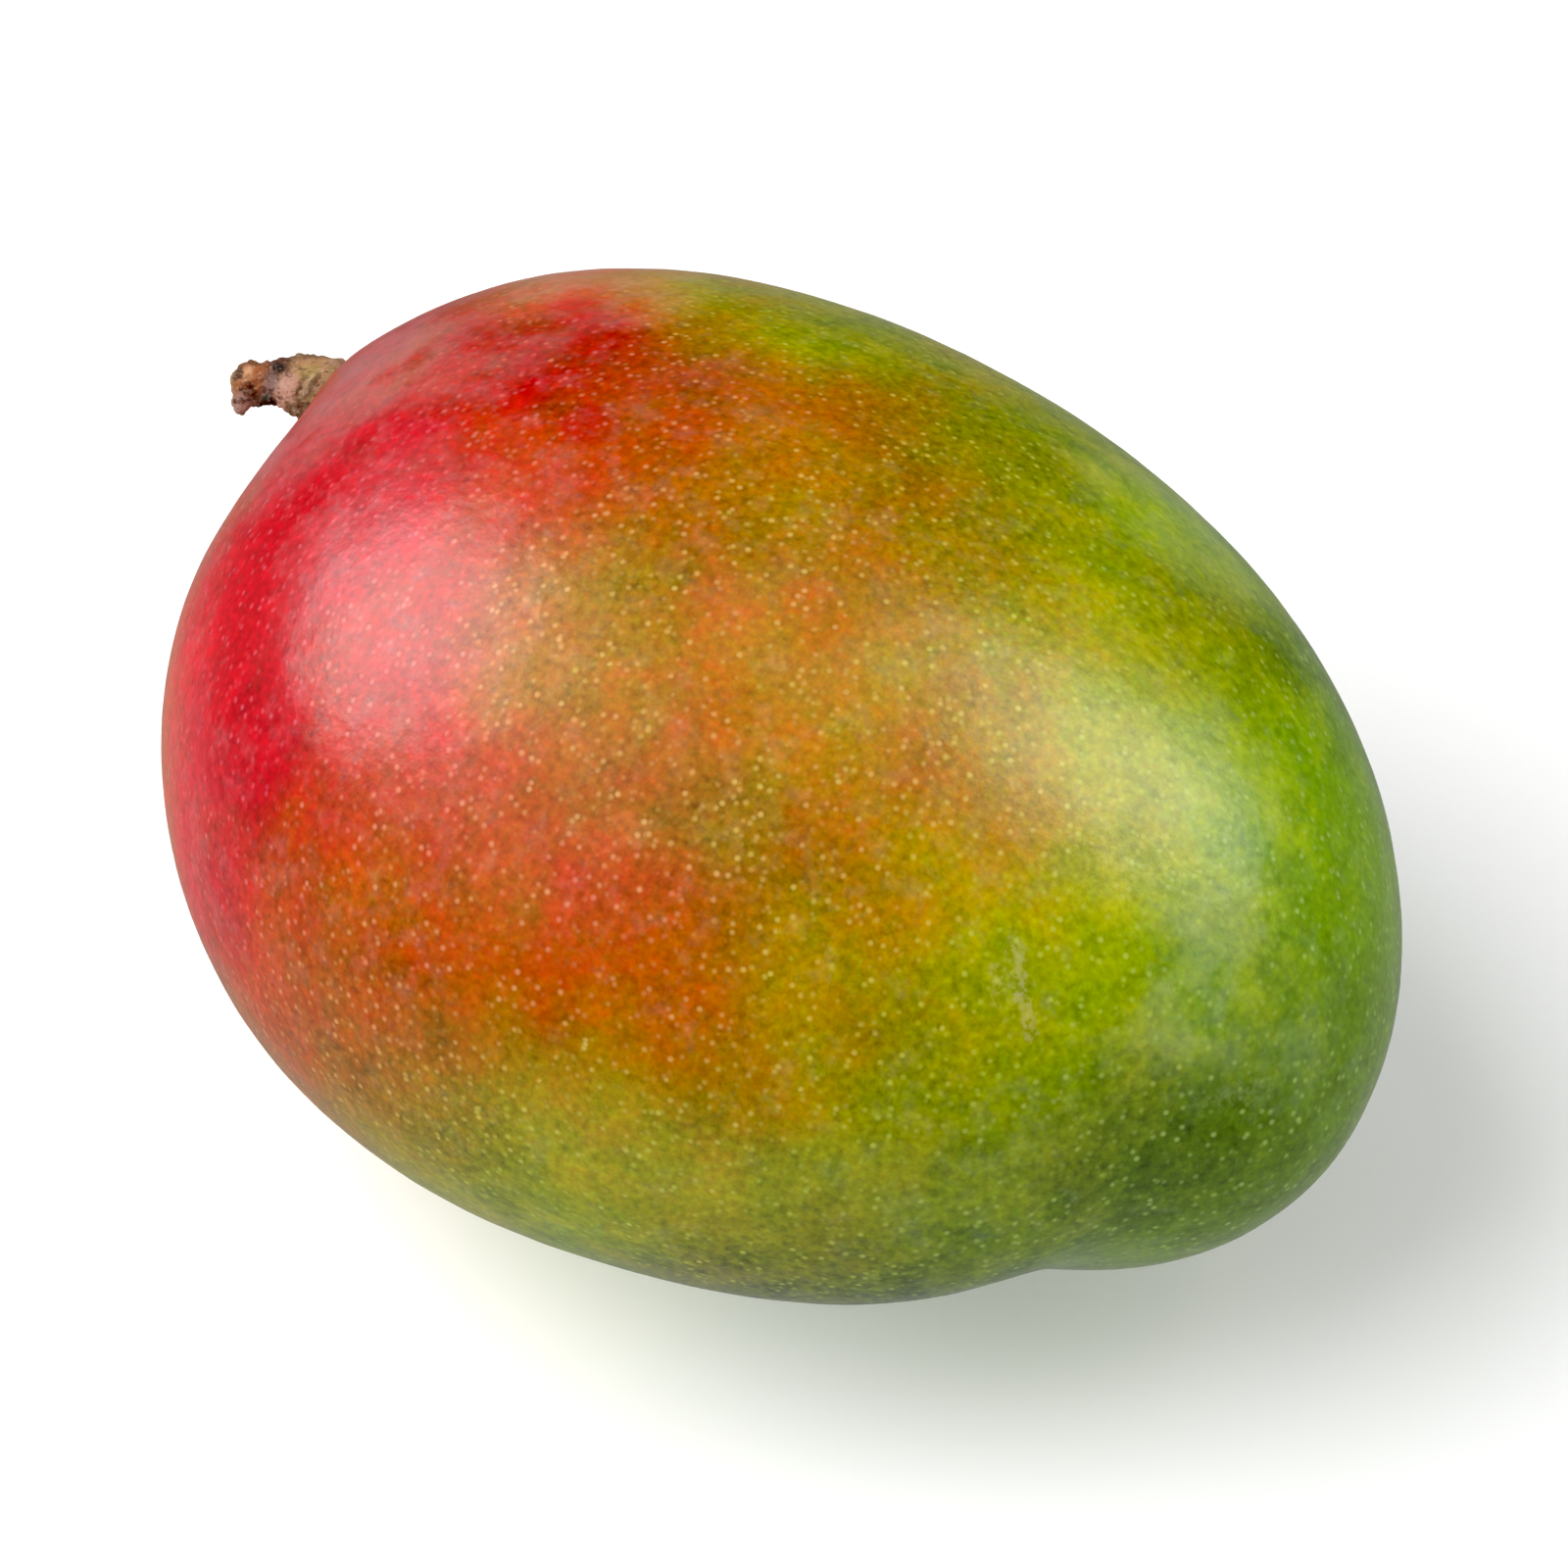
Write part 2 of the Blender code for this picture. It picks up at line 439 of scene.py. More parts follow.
@dataclass(frozen=True)
class SkinFinish:
    """Waxy skin that ripens from green at the beak to crimson at the shoulder, with pale pores.

    Attributes:
        ripe_lon: Longitude of the ripest side in degrees.
        ripe_lat: Latitude of the ripest side in degrees.
        ripe_middle: Ripeness a quarter of the way round from it, nought to one.
        ripe_slope: What is added to that at the ripest side.
        ripe_patches: Places that are riper or greener than their surroundings.
        depth_patches: Places that are lighter or darker, painted shade and rim light among them.
        bloom_and_sheen_patches: Places with more or less of the pale bloom, painted reflection,
            highlight and shade among them.
        scars: Dry scars.
        ripening: Colours of the skin by ripeness.
        bloom_and_sheen_colours: Colours of the bloom and of the painted sheen, by ripeness.
        pore_colours: Colours of the pores by ripeness.
        wander, wander_reach: Wandering of the patches' edges, and how far it goes in metres.
        mottle, mottle_reach: Blotches of ripeness, and how strong they are.
        grain, grain_reach: Fine grain of ripeness, and how strong it is.
        shade, shade_depth: Blotches of light and dark, and how strong they are.
        fleck, fleck_depth: Fine flecks of light and dark, and how strong they are.
        cloud, cloud_depth: Small clouds of light and dark, and how strong they are.
        bloom, bloom_step, bloom_least: Where the bloom is rubbed off, the noise's values between
            which it comes back, and the share that always stays.
        haze, haze_step, haze_share: Bloom that lies everywhere in small clouds, the noise's
            values between which it rises, and its share.
        scar_warp, scar_step: Raggedness of the scars in metres, and the flecks that show them.
        pore_cell, pore_radius: Distance between pores and their radius, in metres.
        pore_core: Share of a pore's radius at full strength.
        pore_share, pore_least, pore_range: Strength of the pores, that of the faintest of them,
            and what the plainest has more.
        stipple, ripple: Fine and broad unevenness of the wax.
        pore_lift, ripple_lift: Heights of the pores and of the ripple against the stipple.
        relief_strength, relief_depth: Strength of the unevenness, and its depth in metres.
        polish, polish_reach: Changes of the gloss from place to place, and how strong they are.
        roughness: Roughness of the wax.
        specular: Strength of its reflection.
    """

    ripe_lon: float = -149.0
    ripe_lat: float = 39.0
    ripe_middle: float = 0.29
    ripe_slope: float = 0.55
    ripe_patches: tuple[Patch, ...] = (
        Patch("crimson shoulder", -150.0, 27.0, 20.0, 0.18),
        Patch("crimson by the stem", -160.0, 41.0, 18.0, 0.2),
        Patch("crimson spur", -131.0, 24.0, 11.0, 0.2),
        Patch("red under the light", -122.0, 40.0, 17.0, 0.06),
        Patch("red flank", -134.0, 12.0, 18.0, 0.18),
        Patch("crimson crown", 168.0, 52.0, 14.0, 0.15),
        Patch("crimson spot", -176.5, 68.6, 5.0, 0.11),
        Patch("dull shoulder", 176.0, 44.0, 15.0, -0.04),
        Patch("orange crown edge", 140.0, 60.0, 15.0, 0.05),
        Patch("green behind the crown", 116.0, 52.0, 24.0, -0.25),
        Patch("olive back", 60.0, 48.0, 26.0, -0.1),
        Patch("brown cheek", -103.0, 61.0, 20.0, -0.19),
        Patch("orange belly", -72.0, 29.0, 16.0, 0.13),
        Patch("olive belly", -76.0, 12.0, 15.0, -0.06),
        Patch("orange streak", -52.0, 21.0, 12.0, 0.08),
        Patch("ochre middle", -36.0, 42.0, 16.0, 0.08),
        Patch("olive middle", -62.0, 44.0, 13.0, -0.05),
        Patch("ochre edge", -18.0, 46.0, 13.0, 0.07),
        Patch("ochre low", -15.0, 34.0, 13.0, 0.09),
        Patch("olive top", -75.0, 78.0, 20.0, -0.09),
        Patch("ochre top", 60.0, 84.0, 14.0, -0.06),
        Patch("olive belly middle", -82.0, 34.0, 12.0, 0.04),
        Patch("green underside", -88.0, -12.0, 26.0, -0.18),
        Patch("red round the stem", 173.0, 26.0, 18.0, 0.16),
    )
    depth_patches: tuple[Patch, ...] = (
        # Lighter green of the beak, with painted highlight where the right lamp reflects.
        Patch("bright beak side", 2.0, 27.0, 34.0, 0.26),
        Patch("bright beak", -12.0, 15.0, 9.0, 0.1),
        Patch("dark beak side", 28.0, 36.0, 15.0, -0.2),
        # Painted shade in the hollow of the valley.
        Patch("valley", -18.0, 6.0, 14.0, -0.28),
        # Painted shade that tones down the left highlight.
        Patch("painted shade under the left highlight", -133.0, 46.0, 20.0, -0.12),
        # Painted shade that tones down the right highlight.
        Patch("painted shade under the right highlight", -9.0, 42.0, 16.0, -0.1),
        # Painted light along the back edge of the beak.
        Patch("painted light along the back of the beak", 16.0, 16.0, 18.0, 0.34),
        Patch("bright middle", -45.0, 60.0, 18.0, 0.12),
        # Painted rim light along the back edge.
        Patch("painted rim light at the back", 48.0, 36.0, 15.0, 0.5),
        # Painted rim light by the crown.
        Patch("painted rim light by the crown", 146.0, 44.0, 15.0, 0.36),
        Patch("bright red side", -158.0, 20.0, 22.0, 0.12),
        Patch("dark crown", 156.0, 63.0, 19.0, -0.16),
        Patch("dark top", -100.0, 79.0, 18.0, -0.12),
        # Painted rim light along the left edge.
        Patch("painted rim light on the left", -150.0, 4.0, 22.0, 0.25),
        Patch("bright back shoulder", 36.0, 50.0, 12.0, 0.15),
        Patch("dark back", 48.0, 62.0, 24.0, -0.2),
        Patch("dark olive", -60.0, 41.0, 13.0, -0.18),
        Patch("dark ochre", -40.0, 22.0, 11.0, -0.12),
        # Painted shade low on the flank.
        Patch("painted shade low on the red flank", -98.0, 2.0, 22.0, -0.12),
        # Painted shade on the underside.
        Patch("painted shade underneath", -50.0, -24.0, 30.0, -0.5),
        Patch("bright ochre", -32.0, 37.0, 10.0, 0.1),
        # Painted shade under the flank.
        Patch("painted shade under the flank", -87.0, -3.0, 13.0, -0.12),
    )
    bloom_and_sheen_patches: tuple[Patch, ...] = (
        Patch("dust by the stem", 179.0, 32.0, 16.0, 0.16),
        Patch("dust on the shoulder", 170.0, 44.0, 15.0, 0.1),
        Patch("rose flank", -142.0, 5.0, 24.0, 0.03),
        # Pale haze on the beak: partly bloom, partly painted reflection.
        Patch("hazy beak", -9.0, 15.0, 13.0, 0.15),
        Patch("hazy beak side", 6.0, 27.0, 16.0, 0.05),
        # Painted rim reflection by the crown and along the back.
        Patch("painted rim reflection by the crown", 145.0, 42.0, 16.0, 0.24),
        Patch("painted rim reflection at the back", 48.0, 36.0, 17.0, 0.11),
        Patch("bare valley", -17.0, 5.0, 11.0, -0.1),
        Patch("bare spot on the beak", -15.5, 22.5, 6.0, -0.12),
        Patch("bare spot above the tip", 5.0, 17.0, 6.0, -0.1),
        Patch("bare back of the beak", 20.0, 25.0, 13.0, -0.1),
        # Less pale across the crimson band: painted shade in the dark gap beside the left
        # highlight.
        Patch("bare crimson band top", -158.0, 27.5, 6.5, -0.12),
        Patch("bare crimson band", -150.0, 28.0, 6.5, -0.12),
        Patch("bare crimson band foot", -142.0, 27.0, 6.5, -0.12),
        # Painted highlight beside the left highlight.
        Patch("painted highlight by the left light", -152.0, 37.0, 7.0, 0.06),
        Patch("hazy crown", 137.0, 74.0, 12.0, 0.04),
        # Painted reflection across the middle.
        Patch("painted reflection in the middle", -39.0, 69.0, 15.0, 0.04),
        # Painted highlight above the left highlight.
        Patch("painted highlight above the left light", -163.0, 46.5, 8.0, 0.04),
        # Painted highlight below the right highlight.
        Patch("painted highlight below the right light", -8.0, 29.0, 8.0, 0.04),
        Patch("bare belly", -78.0, 22.0, 17.0, -0.05),
        Patch("bare underside", -62.0, 6.0, 18.0, -0.05),
    )
    scars: tuple[Mark, ...] = (
        Mark("scar", (41.3, -20.2, 62.3), (43.2, -22.1, 59.3), 1.2, 0.28, (0.44, 0.39, 0.24)),
        Mark("scar below", (43.2, -22.1, 59.3), (45.3, -23.6, 56.0), 1.0, 0.3, (0.42, 0.37, 0.22)),
        Mark("scar beside", (41.0, -22.6, 60.9), (42.0, -24.0, 58.6), 1.0, 0.22, (0.42, 0.36, 0.2)),
        Mark("beak rub", (57.0, -15.5, 47.0), (60.0, -9.0, 46.0), 1.2, 0.14, (0.36, 0.38, 0.23)),
    )
    ripening: Stops = (
        (0.0, (0.115, 0.21, 0.004)),
        (0.15, (0.205, 0.27, 0.004)),
        (0.3, (0.28, 0.265, 0.003)),
        (0.42, (0.315, 0.19, 0.003)),
        (0.55, (0.335, 0.12, 0.004)),
        (0.7, (0.4, 0.062, 0.004)),
        (0.85, (0.43, 0.02, 0.005)),
        (1.0, (0.46, 0.001, 0.008)),
    )
    bloom_and_sheen_colours: Stops = (
        (0.0, (0.52, 0.59, 0.5)),
        (0.3, (0.56, 0.54, 0.34)),
        (0.55, (0.6, 0.46, 0.3)),
        (0.85, (0.64, 0.48, 0.5)),
    )
    pore_colours: Stops = (
        (0.0, (0.36, 0.49, 0.11)),
        (0.25, (0.44, 0.47, 0.06)),
        (0.4, (0.52, 0.42, 0.07)),
        (0.55, (0.6, 0.34, 0.09)),
        (0.75, (0.63, 0.2, 0.11)),
        (1.0, (0.62, 0.08, 0.11)),
    )
    wander: Noise = Noise(16.0 * MM, 5.0, 0.62)
    wander_reach: float = 13.0 * MM
    mottle: Noise = Noise(8.0 * MM, 5.0, 0.68)
    mottle_reach: float = 0.54
    grain: Noise = Noise(0.8 * MM, 2.0, 0.6)
    grain_reach: float = 0.17
    shade: Noise = Noise(8.0 * MM, 5.0, 0.68, (0.3, 0.1, 0.2))
    shade_depth: float = 0.50
    fleck: Noise = Noise(0.8 * MM, 2.0, 0.6, (0.1, 0.2, 0.3))
    fleck_depth: float = 1.20
    cloud: Noise = Noise(4.0 * MM, 2.0, 0.8)
    cloud_depth: float = 0.75
    bloom: Noise = Noise(9.0 * MM, 4.0, 0.6)
    bloom_step: tuple[float, float] = (0.38, 0.58)
    bloom_least: float = 0.2
    haze: Noise = Noise(2.8 * MM, 3.0, 0.7)
    haze_step: tuple[float, float] = (0.45, 0.75)
    haze_share: float = 0.08
    scar_warp: float = 2.6 * MM
    scar_step: tuple[float, float] = (-0.12, 0.08)
    pore_cell: float = 1.06 * MM
    pore_radius: float = 0.42 * MM
    pore_core: float = 0.15
    pore_share: float = 0.90
    pore_least: float = 0.12
    pore_range: float = 0.85
    stipple: Noise = Noise(1.2 * MM, 3.0, 0.6)
    ripple: Noise = Noise(3.4 * MM, 2.0, 0.6)
    pore_lift: float = 0.15
    ripple_lift: float = 1.5
    relief_strength: float = 0.5
    relief_depth: float = 0.09 * MM
    polish: Noise = Noise(6.0 * MM, 1.0, 0.5)
    polish_reach: float = 0.06
    roughness: float = 0.305
    specular: float = 0.5

    @staticmethod
    def pigment(shader: Shader, heading: Wire, patches: Iterable[Patch]) -> Wire:
        """Adds up the patches of a pigment.

        Args:
            shader: The shader to build in.
            heading: Direction from the middle of the fruit, wandered by noise.
            patches: The patches.

        Returns:
            Their sum.
        """
        total: Wire | float = 0.0
        for patch in patches:
            facing = shader.math("DOT_PRODUCT", heading, unit(patch.lon, patch.lat))
            inside = facing.rise(math.cos(math.radians(patch.spread)), 1.0)
            total = inside * patch.amount + total
        return total

    def ripeness(self, shader: Shader, heading: Wire) -> Wire:
        """Works out how ripe the skin is.

        Args:
            shader: The shader to build in.
            heading: Direction from the middle of the fruit, wandered by noise.

        Returns:
            The ripeness, nought to one.
        """
        facing = shader.math("DOT_PRODUCT", heading, unit(self.ripe_lon, self.ripe_lat))
        ripe = facing * self.ripe_slope + self.ripe_middle
        ripe = ripe + self.pigment(shader, heading, self.ripe_patches)
        ripe = ripe + self.mottle.swing(shader) * self.mottle_reach
        return ripe + self.grain.swing(shader) * self.grain_reach

    def depth(self, shader: Shader, heading: Wire, fleck: Wire) -> Wire:
        """Works out how light or dark the skin is, painted shade and painted light included.

        Args:
            shader: The shader to build in.
            heading: Direction from the middle of the fruit, wandered by noise.
            fleck: The fine flecks, about nought.

        Returns:
            What its colour is multiplied by, as a vector.
        """
        depth = self.pigment(shader, heading, self.depth_patches) + 1.0 + fleck * self.fleck_depth
        depth = depth + self.shade.swing(shader) * self.shade_depth
        depth = depth + self.cloud.swing(shader) * self.cloud_depth
        return shader.vector(depth, depth, depth)

    def dust(self, shader: Shader, heading: Wire) -> Wire:
        """Works out how much bloom lies on the skin, and the painted sheen that its patches add.

        Args:
            shader: The shader to build in.
            heading: Direction from the middle of the fruit, wandered by noise.

        Returns:
            The share of the bloom and of the painted sheen, nought to one.
        """
        kept = self.bloom.read(shader).rise(*self.bloom_step) * (1.0 - self.bloom_least)
        dust = self.pigment(shader, heading, self.bloom_and_sheen_patches) * (kept + self.bloom_least)
        return dust + self.haze.read(shader).rise(*self.haze_step) * self.haze_share

    def material(self) -> bpy.types.Material:
        """Builds the skin's material.

        Returns:
            The material.
        """
        shader = Shader(bpy.data.materials.new("skin"))
        wandered = shader.place + self.wander.drift(shader) * self.wander_reach
        heading = shader.math("NORMALIZE", wandered - SWELL_CENTRE)
        ripeness = self.ripeness(shader, heading)
        fleck = self.fleck.swing(shader)
        # The depth darkens and lightens the pigment, and also lays painted shade and painted rim
        # light.
        colour = shader.ramp(self.ripening, ripeness) * self.depth(shader, heading, fleck)
        # Pale overlay: the bloom, and painted reflection and painted highlight where its patches
        # put them.
        bloom = shader.ramp(self.bloom_and_sheen_colours, ripeness)
        colour = shader.blend(self.dust(shader, heading), colour, bloom)
        ragged = shader.place + self.grain.drift(shader) * self.scar_warp
        for scar in self.scars:
            colour = scar.lay(shader, ragged, colour, fleck.rise(*self.scar_step))

        away, luck = shader.cells(self.pore_cell)
        pore = away.rise(self.pore_radius, self.pore_radius * self.pore_core)
        strength = pore * (luck * self.pore_range + self.pore_least) * self.pore_share
        colour = shader.blend(strength, colour, shader.ramp(self.pore_colours, ripeness))

        height = self.stipple.read(shader) + pore * self.pore_lift
        height = height + self.ripple.read(shader) * self.ripple_lift
        return shader.finish(
            Base_Color=colour,
            Roughness=self.polish.swing(shader) * self.polish_reach + self.roughness,
            Specular_IOR_Level=self.specular,
            Normal=shader.bump(height, self.relief_strength, self.relief_depth),
        )


@dataclass(frozen=True)
class BarkFinish:
    """Dry stalk: pink-tan and olive knuckle, a dark neck and an orange-brown broken end.

    Attributes:
        tan_colour, olive_colour: The two colours of the bark.
        crack_colour, grit_colour: Colours of its cracks and of its pale grit.
        marks: Stains, creases and painted edge shade, placed along the stalk and up from its
            middle.
        warp, warp_reach: Wandering of the marks' edges, and how far it goes in metres.
        blotch, blotch_step: Blotches of the two colours, and the noise's values between which
            olive turns to tan.
        fibre, fibre_stretch: Fibres, and what their lengthwise coordinate is multiplied by.
        crack_step, crack_share: Values of the fibres between which a crack opens, and its share.
        grit, grit_step, grit_share: Fine grit, its values between which it shows, and its share.
        grit_lift: Height of the grit against the fibres.
        relief_strength, relief_depth: Strength of the unevenness, and its depth in metres.
        roughness, roughness_reach: Roughness of the bark, and what the grit adds to it.
        specular: Strength of its reflection.
    """

    tan_colour: Colour = (0.35, 0.2, 0.13)
    olive_colour: Colour = (0.27, 0.16, 0.06)
    crack_colour: Colour = (0.05, 0.024, 0.014)
    grit_colour: Colour = (0.56, 0.42, 0.32)
    marks: tuple[Mark, ...] = (
        Mark("ochre cap", (0.3, 1.9, 0.0), (2.2, 2.1, 0.0), 2.1, 0.9, (0.35, 0.19, 0.085)),
        Mark("olive spot", (0.4, 1.4, 0.0), (1.0, 1.5, 0.0), 1.2, 0.7, (0.3, 0.22, 0.07)),
        Mark("pink front", (2.7, 0.5, 0.0), (3.9, -0.4, 0.0), 1.8, 0.9, (0.44, 0.235, 0.175)),
        # Painted shade along the stalk's top edge.
        Mark("painted shade along the top edge", (0.2, 3.6, 0.0), (2.6, 3.6, 0.0), 1.3, 0.85, (0.16, 0.085, 0.04)),
        # Painted shade along the stalk's bottom edge.
        Mark("painted shade along the bottom edge", (0.4, -2.1, 0.0), (2.6, -2.0, 0.0), 1.3, 0.8, (0.19, 0.11, 0.062)),
        Mark("red neck", (3.4, 2.6, 0.0), (5.0, 2.5, 0.0), 1.6, 0.95, (0.085, 0.028, 0.018)),
        Mark("grey neck", (4.4, 1.2, 0.0), (5.1, 0.1, 0.0), 1.3, 0.9, (0.165, 0.095, 0.085)),
        Mark("pit", (3.4, 2.1, 0.0), (3.8, 2.3, 0.0), 0.65, 1.0, (0.015, 0.008, 0.006)),
        # Painted shade under the neck.
        Mark("painted shade underneath", (4.9, -0.7, 0.0), (6.0, -0.8, 0.0), 1.0, 0.95, (0.022, 0.026, 0.02)),
        Mark("rusty end", (6.1, 2.1, 0.0), (6.8, 0.3, 0.0), 2.0, 0.95, (0.29, 0.1, 0.036)),
        Mark("dark end brow", (5.8, 3.2, 0.0), (7.4, 2.8, 0.0), 0.9, 0.85, (0.15, 0.06, 0.026)),
        Mark("bright chip", (6.6, 2.1, 0.0), (6.8, 1.5, 0.0), 0.75, 0.8, (0.56, 0.29, 0.15)),
        Mark("grey lobe", (7.1, -0.6, 0.0), (8.0, -1.6, 0.0), 1.5, 0.9, (0.29, 0.165, 0.135)),
        Mark("dark notch", (7.3, 2.0, 0.0), (7.6, 1.6, 0.0), 0.55, 0.9, (0.06, 0.028, 0.016)),
        Mark("split in the end", (6.3, 0.8, 0.0), (5.9, -0.3, 0.0), 0.5, 0.9, (0.07, 0.024, 0.012)),
        Mark("lobe split", (7.1, 0.4, 0.0), (6.6, -0.1, 0.0), 0.45, 0.9, (0.07, 0.024, 0.012)),
        Mark("knuckle crease", (0.9, 1.0, 0.0), (1.8, -0.7, 0.0), 0.55, 0.75, (0.1, 0.05, 0.024)),
        Mark("skin crease", (-0.2, 1.2, 0.0), (1.2, -0.6, 0.0), 0.5, 0.75, (0.11, 0.056, 0.028)),
        Mark("pale sliver", (0.4, 1.1, 0.0), (1.5, -0.5, 0.0), 0.38, 0.45, (0.52, 0.35, 0.2)),
    )
    warp: Noise = Noise(1.5 * MM, 3.0, 0.6)
    warp_reach: float = 0.6 * MM
    blotch: Noise = Noise(1.4 * MM, 3.0, 0.6)
    blotch_step: tuple[float, float] = (0.35, 0.65)
    fibre: Noise = Noise(0.45 * MM, 4.0, 0.62)
    fibre_stretch: float = 0.22
    crack_step: tuple[float, float] = (0.47, 0.33)
    crack_share: float = 0.75
    grit: Noise = Noise(0.30 * MM, 3.0, 0.6)
    grit_step: tuple[float, float] = (0.52, 0.75)
    grit_share: float = 0.45
    grit_lift: float = 0.6
    relief_strength: float = 0.7
    relief_depth: float = 0.20 * MM
    roughness: float = 0.70
    roughness_reach: float = 0.2
    specular: float = 0.3

    def material(self) -> bpy.types.Material:
        """Builds the stalk's material.

        Returns:
            The material.
        """
        shader = Shader(bpy.data.materials.new("bark"))
        off = shader.place + self.warp.drift(shader) * self.warp_reach - STEM_BASE
        along = shader.math("DOT_PRODUCT", off, STEM_LEAN)
        aside = shader.math("DOT_PRODUCT", off, STEM_SIDE)
        depth = shader.math("DOT_PRODUCT", off, STEM_LEAN.cross(STEM_SIDE))
        fibre = self.fibre.read(shader, shader.vector(along * self.fibre_stretch, aside, depth))
        grit = self.grit.read(shader)

        blotch = self.blotch.read(shader).rise(*self.blotch_step)
        colour = shader.blend(blotch, self.olive_colour, self.tan_colour)
        flat = shader.vector(along, aside, 0.0)
        for mark in self.marks:
            colour = mark.lay(shader, flat, colour)
        crack = fibre.rise(*self.crack_step) * self.crack_share
        colour = shader.blend(crack, colour, self.crack_colour)
        speck = grit.rise(*self.grit_step) * self.grit_share
        colour = shader.blend(speck, colour, self.grit_colour)

        height = fibre + grit * self.grit_lift
        return shader.finish(
            Base_Color=colour,
            Roughness=grit * self.roughness_reach + self.roughness,
            Specular_IOR_Level=self.specular,
            Normal=shader.bump(height, self.relief_strength, self.relief_depth),
        )


@dataclass(frozen=True)
class SoftBox:
    """A soft studio lamp, with a rectangular or oval face, that looks at the fruit.

    Attributes:
        name: The lamp's name.
        azimuth: Degrees round the fruit, 0 in front at -Y and 90 at +X.
        elevation: Degrees above the floor.
        distance: Metres from the fruit's middle.
        width: Width in metres.
        height: Height in metres.
        radiance: How bright its face is.
        throws: Whether the fruit throws a shadow in its light.
        mirrored: Whether the skin's gloss shows it.
        lights: Whether it adds to the light on dull surfaces.
        oval: Whether its face is an oval.
    """

    name: str
    azimuth: float
    elevation: float
    distance: float
    width: float
    height: float
    radiance: float
    throws: bool = False
    mirrored: bool = True
    lights: bool = True
    oval: bool = False

    def build(self) -> None:
        """Hangs the lamp."""
        out = outward(self.azimuth, self.elevation)
        lamp = bpy.data.lights.new(self.name, "AREA")
        lamp.shape = "ELLIPSE" if self.oval else "RECTANGLE"
        lamp.size = self.width
        lamp.size_y = self.height
        fullness = math.pi / 4.0 if self.oval else 1.0
        lamp.energy = self.radiance * math.pi * self.width * self.height * fullness
        lamp.use_shadow = self.throws
        obj = bpy.data.objects.new(self.name, lamp)
        obj.location = SWELL_CENTRE + out * self.distance
        obj.rotation_mode = "QUATERNION"
        obj.rotation_quaternion = out.to_track_quat("Z", "Y")
        obj.visible_camera = False
        obj.visible_glossy = self.mirrored
        obj.visible_diffuse = self.lights
        bpy.context.scene.collection.objects.link(obj)
        log.info("lamp %s", self.name)


@dataclass(frozen=True)
class Studio:
    """Pale floor, soft lamps and plain surroundings.

    Attributes:
        floor_reach: Radius of the floor in metres.
        floor_sides: Sides of the floor's outline.
        floor_white: How pale the floor is.
        floor_roughness: Its roughness.
        speckle, speckle_reach: Cloudiness of the floor, and how strong it is.
        horizon_low, horizon_high: How far up a direction has to point, from minus one straight
            down to one straight up, for the surroundings to start fading and to have faded.
        low_white: How bright they are below that.
        high_dark: How bright they are above it.
        black_level: What is taken off the darkest tones of the picture.
        lamps: The lamps.
    """

    floor_reach: float = 3.0
    floor_sides: int = 96
    floor_white: float = 0.95
    floor_roughness: float = 0.9
    speckle: Noise = Noise(0.4, 2.0, 0.5)
    speckle_reach: float = 0.01
    horizon_low: float = -0.55
    horizon_high: float = -0.05
    low_white: float = 0.43
    high_dark: float = 0.0
    black_level: float = 0.016
    lamps: tuple[SoftBox, ...] = (
        SoftBox("key", -38.0, 48.0, 1.60, 1.70, 1.70, 4.2, throws=True, mirrored=False),
        SoftBox("left_light", -77.0, 34.0, 1.60, 1.14, 1.26, 6.2, lights=False, oval=True),
        SoftBox("back_light", 127.0, 49.0, 1.60, 0.94, 0.98, 5.4, mirrored=False),
        SoftBox("back_gloss", 132.0, 46.5, 1.60, 0.84, 1.32, 4.3, lights=False),
        SoftBox("top_light", 180.0, 84.0, 1.60, 1.40, 1.40, 0.7, mirrored=False),
    )

    def build(self) -> None:
        """Builds the floor, the surroundings and the lamps."""
        self.lay_floor()
        self.surround()
        for lamp in self.lamps:
            lamp.build()
        view = bpy.context.scene.view_settings
        view.view_transform = "Standard"
        view.use_curve_mapping = True
        view.curve_mapping.black_level = (self.black_level,) * 3

    def lay_floor(self) -> None:
        """Lays the floor, which the gloss of the skin doesn't show."""
        bpy.ops.mesh.primitive_circle_add(
            vertices=self.floor_sides, radius=self.floor_reach, fill_type="NGON")
        floor = bpy.context.object
        floor.name = "floor"
        shader = Shader(bpy.data.materials.new("floor"))
        pale = self.speckle.swing(shader) * self.speckle_reach + self.floor_white
        floor.data.materials.append(shader.finish(
            Base_Color=shader.vector(pale, pale, pale),
            Roughness=self.floor_roughness,
            Specular_IOR_Level=0.0,
        ))
        floor.visible_glossy = False

    def surround(self) -> None:
        """Makes the surroundings, pale at the foot, which light nothing but the gloss."""
        world = bpy.data.worlds.new("surroundings")
        shader = Shader(world)
        direction = shader.node("ShaderNodeSeparateXYZ", {}, {"Vector": shader.way})
        fall = shader.node(
            "ShaderNodeMapRange",
            {},
            {"Value": shader.out(direction, "Z"),
             "From Min": self.horizon_low, "From Max": self.horizon_high,
             "To Min": self.low_white, "To Max": self.high_dark},
        )
        glow = shader.node("ShaderNodeBackground", {}, {"Color": shader.out(fall, "Result")})
        shader.node("ShaderNodeOutputWorld", {}, {"Surface": shader.out(glow, "Background")})
        bpy.context.scene.world = world
        world.cycles_visibility.diffuse = False


